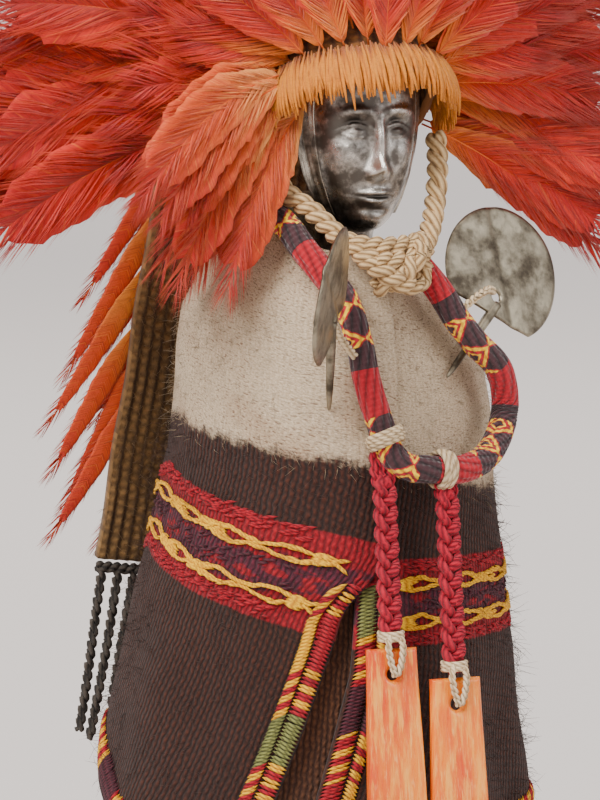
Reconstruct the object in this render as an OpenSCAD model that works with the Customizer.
// Silver votive figurine dressed in miniature cloths, with a feather headdress,
// two half-moon dress pins, a tubular neck band and two hanging shell plates.
// Millimetres, +Z up, the figure faces -Y, origin at the middle of its soles.

/* [Figure] */
// Height of the hips above the soles
hip_z = 45; // [43:1:47]
// Radius of the silver legs at the ankle
ankle_r = 2.4; // [2.0:0.1:2.6]
// Width of one foot
foot_w = 6.4; // [6.2:0.1:7]
// Length of the feet
foot_len = 17; // [15:1:19]
// Height of the head's centre above the soles
head_z = 100; // [99:0.5:101]

/* [Cloths] */
// Thickness of the mantle's cloth
mantle_t = 0.8; // [0.6:0.1:0.9]
// Thickness of the dress and of the belt
dress_t = 0.7; // [0.5:0.1:0.8]
// Width of the bound front edges, as a share of the mantle's round
binding_share = 0.032; // [0.025:0.001:0.04]
// Height of the hem's binding
hem_h = 2.6; // [2:0.1:3.2]

/* [Headdress] */
// Outer radius of the feathered cap
cap_r = 8.4; // [8.3:0.1:8.6]
// Radius of the tallest crest feathers, from the cap's centre
crest_r = 43; // [38:1:46]
// Thickness of the crest, front to back
crest_t = 7; // [6:0.5:8]
// Width of the ribbed train down the back
train_w = 22; // [18:1:24]
// Length of the ribbed train
train_len = 45; // [40:1:46]
// Number of cords in the train's fringe
fringe_n = 9; // [5:1:10]

/* [Ornaments] */
// Radius of the half-moon head of a dress pin
pin_head_r = 6.8; // [6:0.1:7]
// Radius of a pin's stem
pin_stem_r = 0.5; // [0.4:0.05:0.6]
// Radius of the tubular neck band
band_r = 1.25; // [1.1:0.05:1.3]
// Radius of a red braid
braid_r = 1.2; // [1.0:0.1:1.3]
// Length of a red braid
right_braid_len = 15.4; // [14:0.1:17]
left_braid_len = 17.2;  // [16:0.1:19]
// Length of a shell plate
plate_len = 15.5; // [13:0.5:17]
// Thickness of a shell plate
plate_t = 1.2; // [1:0.1:1.4]

/* [Hidden] */

$fn = 48;

// Half-width and half-depth of the draped mantle at heights above the soles
WIDE = [[10, 21.5], [24, 23.6], [30, 22.9], [38, 21.4], [48, 19.8], [60, 17.6], [68, 16.4],
    [78, 15.6], [82, 15], [86, 12.8], [89, 10], [91, 7.8], [92.5, 6]];
DEEP = [[10, 19.5], [24, 20.6], [30, 19.4], [38, 18], [48, 16.5], [60, 14.5], [68, 13.2],
    [78, 12], [82, 11.2], [86, 9.6], [89, 8], [91, 6.8], [92.5, 5.8]];
shoulder_drop = 7;  // the left shoulder's cloth hangs this much lower
neck_top = 92.5;
neck_dip = 5.5;     // the neckline is this much lower under the chin

// The mantle's seams: share of the way round (0 and 1 at the two front edges), height
SHOULDER_SEAM = [[0, 66.5], [0.17, 63.5], [0.3, 64.5], [0.5, 67], [0.75, 71.3], [0.88, 69], [1, 66.5]];
BAND_TOP = [[0, 58], [0.2, 57.5], [0.35, 60], [0.5, 63], [0.75, 66.8], [0.9, 62.5], [1, 59.4]];
BAND_LOW = [[0, 49.5], [0.2, 49.5], [0.35, 51.5], [0.5, 54.5], [0.75, 58.3], [0.9, 53.5], [1, 50.3]];
HEM = [[0, 24], [0.25, 31], [0.5, 37], [0.75, 38.5], [0.84, 32.7], [0.91, 28.7], [1, 24]];
// Direction of the two front edges, in degrees round from the front
RIGHT_EDGE = [[24, -34], [33, -29], [43, -20], [50, -14], [59, -8], [66, -4], [92, -2]];
LEFT_EDGE = [[24, -22], [33, -18], [47, -8.5], [59, -7.2], [66, -3.4], [92, -1.4]];

head_at = [1.5, -3.5, head_z];
cap_at = [1.5, -2.2, 102.5];
cap_tilt = -22;

// Pins: where the stem meets the head, then yaw, pitch and roll of the whole pin
right_pin_at = [-7.3, -18, 80.5];
right_pin_turn = [10.5, -32.5, 51];
right_pin_stem = 9.5;
left_pin_at = [13.7, -7.9, 80.9];
left_pin_turn = [-25.2, 46.1, -3.3];
left_pin_stem = 9.1;
left_head_turn = -18;

// The neck band from the right of the neck, down over the chest and up to the left
BAND_ROUTE = [[-9, -2.5, 91.5], [-7.5, -6, 90.5], [-6.5, -9, 88], [-5, -11, 85.5], [-3.5, -12.5, 83],
    [-2.5, -13.5, 79], [-2, -14.2, 75.5], [-1, -15, 71.5], [0, -15.5, 68.5], [1.5, -16, 67.2],
    [3.5, -16, 66.9], [7, -15.4, 66.6], [10.5, -13.8, 67.4], [13, -11.8, 69.5], [14.2, -10.5, 72.5],
    [13, -11.5, 76], [10.4, -12, 78.5], [8.4, -11.8, 81], [7, -11.4, 83.4]];
ROPE_RIGHT = [[-7.5, -3, 98.5], [-7.5, -3.5, 96], [-7, -5, 93.5], [-5, -7.5, 91.5], [-3.2, -10.4, 89]];
ROPE_LEFT = [[9.5, -4, 98.5], [9.3, -5, 96], [8.6, -6.3, 93], [7.2, -8.4, 90], [5.4, -10.6, 87.8]];
rope_r = 1;
KNOT = [[-1.2, -12, 87.4], [1.6, -12.4, 87], [3.8, -12, 86.4], [0.4, -12.6, 84.8]];
RIGHT_STRING = [[-5.5, -15.3, 79.5], [-4.4, -15.1, 78.7], [-3.7, -14.6, 78]];
LEFT_STRING = [[12.6, -10.5, 83.2], [11, -11.2, 83], [9.4, -11.6, 82.3]];
string_r = 0.4;

// Pendants: pivot under each lashing, and how far they lean out with the cloth
right_pivot = [-0.9, -15.9, 65.6];
left_pivot = [5.6, -16.1, 64.2];
pendant_lean = -6.5;
plate_w_top = 5.2;
plate_w_low = 6;
hole_r = 0.7;
hole_drop = 2.5;
loop_len = 3.4;

// The train hangs from behind the cap, leaning out with the cloth under it
train_at = [-2, 11.6, 98];
train_turn = [9.5, 6, 0];

// ---------------------------------------------------------------- surfaces

function mix(a, b, t) = a + (b - a) * t;
function ease(x) = let (t = min(max(x, 0), 1)) t * t * (3 - 2 * t);

// A point of the draped cloth: direction round, height, depth under the outer face
function drape(th, z, deep) =
    let (
        ze = z + shoulder_drop * max(0, sin(th)) * ease((z - 70) / 14),
        lean = (68 - min(z, 68)) / 30
    )
    [(lookup(ze, WIDE) - deep) * sin(th) - 1.2 * lean,
     -(lookup(ze, DEEP) - deep) * cos(th) + 2.5 * lean,
     z];

// Direction of a share p of the way round the mantle at height z
function mantle_way(p, z) = mix(lookup(z, LEFT_EDGE), 360 + lookup(z, RIGHT_EDGE), p);
function neck_line(p) = neck_top - shoulder_drop * max(0, sin(360 * p)) - neck_dip * pow(max(0, cos(360 * p)), 2);

// Closed slab between two grids of points of the same size
module slab(outer, inner) {
    rows = len(outer);
    cols = len(outer[0]);
    count = rows * cols;
    function at(side, i, j) = side * count + i * cols + j;
    points = concat([for (row = outer, p = row) p], [for (row = inner, p = row) p]);
    faces = concat(
        [for (i = [0 : rows - 2], j = [0 : cols - 2]) each
            [[at(0, i, j), at(0, i + 1, j), at(0, i + 1, j + 1)],
             [at(0, i, j), at(0, i + 1, j + 1), at(0, i, j + 1)],
             [at(1, i, j), at(1, i + 1, j + 1), at(1, i + 1, j)],
             [at(1, i, j), at(1, i, j + 1), at(1, i + 1, j + 1)]]],
        [for (j = [0 : cols - 2]) each
            [[at(0, 0, j), at(0, 0, j + 1), at(1, 0, j + 1), at(1, 0, j)],
             [at(0, rows - 1, j + 1), at(0, rows - 1, j), at(1, rows - 1, j), at(1, rows - 1, j + 1)]]],
        [for (i = [0 : rows - 2]) each
            [[at(0, i + 1, 0), at(0, i, 0), at(1, i, 0), at(1, i + 1, 0)],
             [at(0, i, cols - 1), at(0, i + 1, cols - 1), at(1, i + 1, cols - 1), at(1, i, cols - 1)]]]);
    polyhedron(points, faces, convexity = 8);
}

// A piece of the mantle between two shares round and two lines of height
module mantle_piece(p0, p1, low, high, out, deep, cols, rows) {
    function height(p, t) = mix(low(p), high(p), t);
    function grid(d) = [for (i = [0 : rows]) [for (j = [0 : cols])
        let (p = mix(p0, p1, j / cols), z = height(p, 1 - pow(1 - i / rows, 1.5)))
        drape(mantle_way(p, z), z, d)]];
    slab(grid(out), grid(deep));
}

// A tube of radius r swept along a list of points, with round ends left flat
module tube(route, r, sides = 8) {
    n = len(route);
    function unit(v) = v / norm(v);
    function along(i) = unit(route[min(i + 1, n - 1)] - route[max(i - 1, 0)]);
    function carry(i) = i == 0 ? unit(cross(along(0), [0.3, 1, 0.2]))
        : let (last = carry(i - 1), t = along(i)) unit(last - t * (last * t));
    points = [for (i = [0 : n - 1]) let (u = carry(i), v = cross(along(i), u)) for (k = [0 : sides - 1])
        route[i] + r * (u * cos(k * 360 / sides) + v * sin(k * 360 / sides))];
    faces = concat(
        [[for (k = [0 : sides - 1]) k]],
        [[for (k = [sides - 1 : -1 : 0]) (n - 1) * sides + k]],
        [for (i = [0 : n - 2], k = [0 : sides - 1]) let (m = (k + 1) % sides) each
            [[i * sides + k, (i + 1) * sides + k, i * sides + m],
             [i * sides + m, (i + 1) * sides + k, (i + 1) * sides + m]]]);
    polyhedron(points, faces, convexity = 6);
}

// ---------------------------------------------------------------- silver figure

module foot_outline(side) {
    translate([side * foot_w / 2 - side * 0.1, 0]) union() {
        translate([-foot_w / 2, -foot_len / 2]) square([foot_w, foot_len - 3]);
        translate([0, -foot_len / 2]) circle(r = foot_w / 2);
        translate([0, foot_len / 2 - 3]) circle(r = foot_w / 2 - 0.2);
    }
}

module silver_feet() {
    color("silver") linear_extrude(3) union() {
        foot_outline(1);
        foot_outline(-1);
    }
}

module leg(side) {
    color("silver") translate([side * 3.6, 0, 3])
        cylinder(h = hip_z - 3, r1 = ankle_r, r2 = 3.4);
}

module right_leg() { leg(-1); }

module left_leg() { leg(1); }

module silver_torso() {
    color("silver") translate([0, 0, hip_z]) rotate_extrude()
        polygon([[0, 0], [7.5, 0], [7.6, 4], [6.2, 17], [7, 26], [7, 32], [5, 35.5], [3.2, 37],
            [3.2, 41], [0, 41]]);
}

// Upper arm beside the torso and forearm laid across the chest
module arm(side) {
    color("silver") difference() {
        union() {
            translate([side * 9.2, 0, 77]) sphere(r = 1.7);
            translate([side * 9.2, 0, 65]) cylinder(h = 12, r = 1.4);
            translate([side * 9.2, 0, 65]) sphere(r = 1.4);
            translate([side * 9.2, 0, 65]) rotate([64, side * 8, side * -38]) cylinder(h = 9.6, r = 1.1);
        }
        silver_torso();
    }
}

module right_arm() { arm(-1); }

module left_arm() { arm(1); }

module head_mass(grow) {
    hull() {
        translate(head_at + [0, 1.3, 3.4]) sphere(r = 5.7 + grow, $fn = 32);
        translate(head_at + [0, 0.9, -1.5]) sphere(r = 5.2 + grow, $fn = 32);
        translate(head_at + [0, -3, -8.6]) sphere(r = 2.8 + grow, $fn = 24);
    }
}

module silver_head() {
    color("gray") difference() {
        union() {
            head_mass(0);
            hull() {
                translate(head_at + [0, -4, 2.5]) sphere(r = 0.9, $fn = 16);
                translate(head_at + [0, -6.1, -1.8]) sphere(r = 1.1, $fn = 16);
            }
            translate([0.6, -1, 83]) cylinder(h = 9, r = 3.1);
        }
        silver_torso();
    }
}

module cast_hair() {
    color("dimgray") difference() {
        translate([0, 1.2, 0.4]) head_mass(0.5);
        head_mass(0.02);
        translate(head_at + [-10, -11.5, -14]) cube([20, 11, 30]);
        translate([0.6, -1, 82]) cylinder(h = 12, r = 3.2);
        translate(cap_at) sphere(r = cap_r + 0.1);
    }
}

// ---------------------------------------------------------------- cloths

// A closed ring of cloth between two heights, measured inwards from the drape
module cloth_ring(z0, z1, out, deep, rows, cols = 48) {
    function ring(z, d) = [for (j = [0 : cols - 1]) drape(j * 360 / cols, z, d)];
    function heights() = [for (i = [0 : rows]) mix(z0, z1, i / rows)];
    outer = [for (z = heights(), p = ring(z, out)) p];
    inner = [for (z = heights(), p = ring(z, deep)) p];
    count = cols * (rows + 1);
    faces = concat(
        [for (i = [0 : rows - 1], j = [0 : cols - 1])
            let (a = i * cols + j, b = i * cols + (j + 1) % cols, c = b + cols, d = a + cols) each
            [[a, c, b], [a, d, c], [count + a, count + b, count + c], [count + a, count + c, count + d]]],
        [for (j = [0 : cols - 1])
            let (a = j, b = (j + 1) % cols, e = rows * cols) each
            [[a, b, count + b], [a, count + b, count + a],
             [e + b, e + a, count + e + a], [e + b, count + e + a, count + e + b]]]);
    polyhedron(concat(outer, inner), faces, convexity = 8);
}

dress_out = mantle_t + 0.25 + dress_t + 0.15;

module dress() {
    color("saddlebrown") cloth_ring(9, 80, dress_out, dress_out + dress_t, 15);
}

module waist_belt() {
    color("darkred") cloth_ring(64, 70, mantle_t + 0.15, mantle_t + 0.15 + dress_t, 2);
}

function to_neck(p) = neck_line(p);
function to_shoulder_seam(p) = lookup(p, SHOULDER_SEAM);
function to_band_top(p) = lookup(p, BAND_TOP);
function to_band_low(p) = lookup(p, BAND_LOW);
function to_hem(p) = lookup(p, HEM);
function to_hem_top(p) = lookup(p, HEM) + hem_h;

p_in = binding_share;
p_out = 1 - binding_share;

module mantle_shoulders() {
    color("antiquewhite") difference() {
        mantle_piece(p_in, p_out, function(p) to_shoulder_seam(p), function(p) to_neck(p),
            0, mantle_t, 44, 9);
        pin_channels();
    }
}

module mantle_upper_cloth() {
    color("#2b1a14") mantle_piece(p_in, p_out, function(p) to_band_top(p),
        function(p) to_shoulder_seam(p), 0, mantle_t, 44, 2);
}

module mantle_figured_band() {
    color("crimson") mantle_piece(p_in, p_out, function(p) to_band_low(p),
        function(p) to_band_top(p), 0, mantle_t, 44, 3);
}

module mantle_lower_cloth() {
    color("#2b1a14") mantle_piece(p_in, p_out, function(p) to_hem_top(p),
        function(p) to_band_low(p), 0, mantle_t, 44, 9);
}

module right_front_binding() {
    color("goldenrod") mantle_piece(p_out, 1, function(p) to_hem_top(p), function(p) to_neck(p),
        -0.2, mantle_t, 1, 40);
}

module left_front_binding() {
    color("olive") mantle_piece(0, p_in, function(p) to_hem_top(p), function(p) to_neck(p),
        -0.1, mantle_t, 1, 40);
}

module hem_binding() {
    color("crimson") mantle_piece(0, 1, function(p) to_hem(p), function(p) to_hem_top(p),
        -0.2, mantle_t, 46, 1);
}

// ---------------------------------------------------------------- headdress

module cap_frame() {
    translate(cap_at) rotate([cap_tilt, 0, 0]) children();
}

module headdress_cap() {
    color("sienna") cap_frame() rotate_extrude() intersection() {
        difference() {
            circle(r = cap_r);
            circle(r = cap_r - 1);
        }
        square([cap_r, cap_r]);
    }
}

// Trimmed yellow feathers round the front of the cap's rim
module brow_fringe() {
    color("gold") cap_frame() rotate([0, 0, 165]) rotate_extrude(angle = 210)
        polygon([[cap_r + 0.05, 1.6], [cap_r + 0.95, 1.2], [cap_r + 1.3, -3.4], [cap_r + 0.4, -3.4]]);
}

// A fan of feathers: part of a thick ring standing in the plane of the shoulders
module fan(from, to, r_in, r_out, thick) {
    translate(cap_at + [0, 3, 0]) rotate([90, 0, 0]) rotate([0, 0, from])
        rotate_extrude(angle = to - from) translate([r_in, -thick / 2]) square([r_out - r_in, thick]);
}

module crest_top() { color("orangered") fan(30, 150, 10.2, crest_r, crest_t); }

module crest_right() { color("tomato") fan(150.5, 192, 10.2, crest_r, crest_t); }

module crest_left() { color("tomato") fan(-24, 29.5, 10.2, 30, crest_t - 1); }

// Long feathers drooping past the right cheek to the shoulder
module cheek_feathers() {
    color("coral") translate(cap_at) rotate([0, 0, 24]) rotate([90, 0, 0]) rotate([0, 0, 193])
        rotate_extrude(angle = 26) translate([12.5, -2]) square([10.5, 4]);
}

module chin_rope_right() { color("wheat") tube(ROPE_RIGHT, rope_r); }

module chin_rope_left() { color("wheat") tube(ROPE_LEFT, rope_r); }

module chin_knot() {
    color("tan") hull() {
        for (lobe = KNOT) translate(lobe) sphere(r = 1.7, $fn = 24);
    }
}

// ---------------------------------------------------------------- ornaments

module neck_band() { color("crimson") tube(BAND_ROUTE, band_r); }

// A wound lashing: a thick ring round the band
module lashing(at, turn) {
    color("beige") translate(at) rotate(turn) difference() {
        cylinder(h = 1.6, r = band_r + 0.65, center = true);
        cylinder(h = 3, r = band_r + 0.1, center = true);
    }
}

module right_lashing() { lashing([-0.5, -15.25, 70], [-9, -18.4, 0]); }

module left_lashing() { lashing([5.25, -15.7, 66.75], [0, 94.9, 9.7]); }

module right_pin_string() { color("tan") tube(RIGHT_STRING, string_r, 6); }

module left_pin_string() { color("tan") tube(LEFT_STRING, string_r, 6); }

// Half-moon head with a small hole near its straight edge, and a round stem
module pin(stem, head_turn) {
    color("silver") {
        rotate([0, head_turn, 0]) difference() {
            translate([0, 0.3, 4.6]) rotate([90, 0, 0]) cylinder(h = 0.6, r = pin_head_r, $fn = 72);
            translate([-20, -2, -20]) cube([40, 4, 20]);
            translate([0, 2, 1.9]) rotate([90, 0, 0]) cylinder(h = 4, r = 0.55);
        }
        translate([0, 0, -stem]) cylinder(h = stem + 0.9, r = pin_stem_r);
    }
}

module right_pin() { translate(right_pin_at) rotate(right_pin_turn) pin(right_pin_stem, 0); }

module left_pin() { translate(left_pin_at) rotate(left_pin_turn) pin(left_pin_stem, left_head_turn); }

// Holes that the two stems make in the cloth
module pin_channels() {
    translate(right_pin_at) rotate(right_pin_turn)
        translate([0, 0, -20]) cylinder(h = 19, r = pin_stem_r + 0.1, $fn = 12);
    translate(left_pin_at) rotate(left_pin_turn)
        translate([0, 0, -20]) cylinder(h = 19, r = pin_stem_r + 0.1, $fn = 12);
}

module pendant_frame(pivot) {
    translate(pivot) rotate([pendant_lean, 0, 0]) children();
}

module braid(pivot, length) {
    color("crimson") pendant_frame(pivot) translate([0, 0, -length])
        cylinder(h = length, r = braid_r);
}

// Two legs of string from the braid's end to the hole, in front of the plate
module plate_loop(pivot, length) {
    color("beige") pendant_frame(pivot) translate([0, -plate_t / 2 - string_r - 0.1, -length - 0.1])
        for (side = [-1, 1])
            translate([side * 0.8, 0, 0]) rotate([0, side * 11, 0])
                translate([0, 0, -loop_len + 0.2]) cylinder(h = loop_len - 0.2, r = string_r);
}

module shell_plate(pivot, length) {
    color("orange") pendant_frame(pivot) translate([0, 0, -length - 0.4])
        rotate([90, 0, 0]) difference() {
            linear_extrude(plate_t, center = true) polygon([[-plate_w_top / 2, 0], [plate_w_top / 2, 0],
                [plate_w_low / 2, -plate_len], [-plate_w_low / 2, -plate_len]]);
            translate([0, -hole_drop, -2]) cylinder(h = 4, r = hole_r);
        }
}

module right_braid() { braid(right_pivot, right_braid_len); }

module left_braid() { braid(left_pivot, left_braid_len); }

module right_plate_loop() { plate_loop(right_pivot, right_braid_len); }

module left_plate_loop() { plate_loop(left_pivot, left_braid_len); }

module right_shell_plate() { shell_plate(right_pivot, right_braid_len); }

module left_shell_plate() { shell_plate(left_pivot, left_braid_len); }

// ---------------------------------------------------------------- train

module train_frame() {
    translate(train_at) rotate(train_turn) children();
}

module train_strip() {
    color("#4a3a28") train_frame() translate([-train_w / 2, -0.8, -train_len])
        cube([train_w, 1.6, train_len]);
}

// Feathers laid in rows over the outer face of the strip
module train_feathers() {
    color("orangered") train_frame() translate([0, 0.8, 0]) rotate([90, 0, 180])
        linear_extrude(3) polygon([[-train_w / 2, -1], [train_w / 2, -1], [train_w / 2 + 4, -12],
            [train_w / 2 + 5, -42], [train_w / 2, -45.4], [-train_w / 2 + 2, -45], [-train_w / 2 - 1, -30]]);
}

// Heading cord that the fringe is looped on
module train_heading() {
    color("#241c18") train_frame() translate([-train_w / 2, 0, -train_len - 0.9]) rotate([0, 90, 0])
        cylinder(h = train_w, r = 0.6);
}

module train_fringe() {
    color("#241c18") train_frame() for (i = [0 : fringe_n - 1])
        translate([(i / (fringe_n - 1) - 0.5) * (train_w - 1.4), 0, -train_len - 19])
            cylinder(h = 17.3, r = 0.45);
}

silver_feet();
right_leg();
left_leg();
silver_torso();
right_arm();
left_arm();
silver_head();
cast_hair();
dress();
waist_belt();
mantle_shoulders();
mantle_upper_cloth();
mantle_figured_band();
mantle_lower_cloth();
right_front_binding();
left_front_binding();
hem_binding();
headdress_cap();
brow_fringe();
crest_top();
crest_right();
crest_left();
cheek_feathers();
chin_rope_right();
chin_rope_left();
chin_knot();
neck_band();
right_lashing();
left_lashing();
right_pin_string();
left_pin_string();
right_pin();
left_pin();
right_braid();
left_braid();
right_plate_loop();
left_plate_loop();
right_shell_plate();
left_shell_plate();
train_strip();
train_feathers();
train_heading();
train_fringe();
